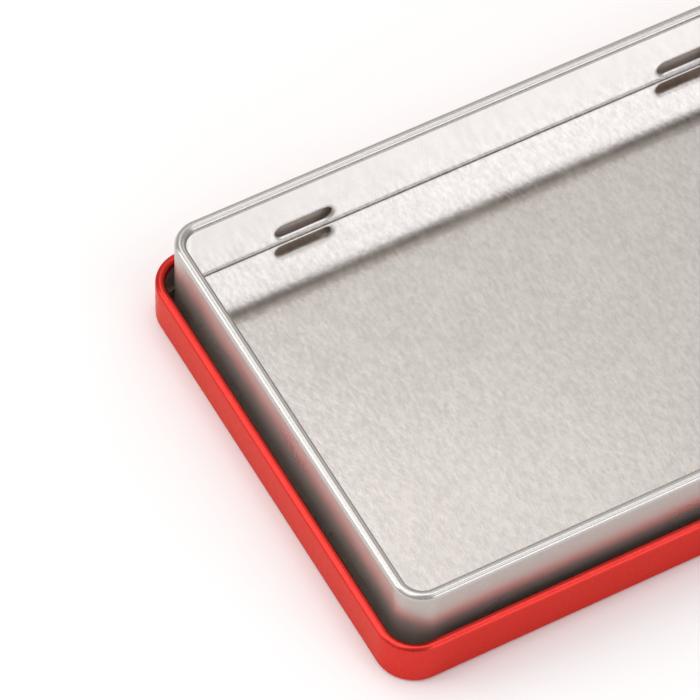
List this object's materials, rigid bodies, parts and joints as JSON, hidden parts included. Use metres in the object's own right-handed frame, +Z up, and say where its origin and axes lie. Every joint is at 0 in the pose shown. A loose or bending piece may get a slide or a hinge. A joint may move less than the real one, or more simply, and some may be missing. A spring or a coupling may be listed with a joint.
{
  "type": "card game tin",
  "caption": "Shallow tinplate card game tin: open tray with hinge slots standing in its upturned red lacquered lid with hinge tongues.",
  "frame": {"origin": "on the table, under the middle of the upturned lid", "axes": "+X along the tin's length, to the right seen from the front; +Y towards the hinge side; +Z up"},
  "size_m": [0.1448, 0.097, 0.021],
  "materials": {
    "red_lacquer": "satin metallic red lacquer over tinplate",
    "tinplate": "bare tinplate, bright satin",
    "floor_tinplate": "bare tinplate with a fine grain"
  },
  "bodies": {
    "lid": {"lid_shell": "red_lacquer", "lid_rolled_edge": "red_lacquer", "hinge_tongue_left": "red_lacquer", "hinge_tongue_right": "red_lacquer"},
    "tray": {"tray_wall": "tinplate", "tray_rolled_rim": "tinplate", "tray_floor": "floor_tinplate", "tray_bottom_hem": "tinplate"}
  },
  "joints": [
    {"name": "tray_lift", "type": "slide", "parent": "lid", "child": "tray", "axis": [0, 0, 1], "range_m": [0, 0.03]}
  ]
}
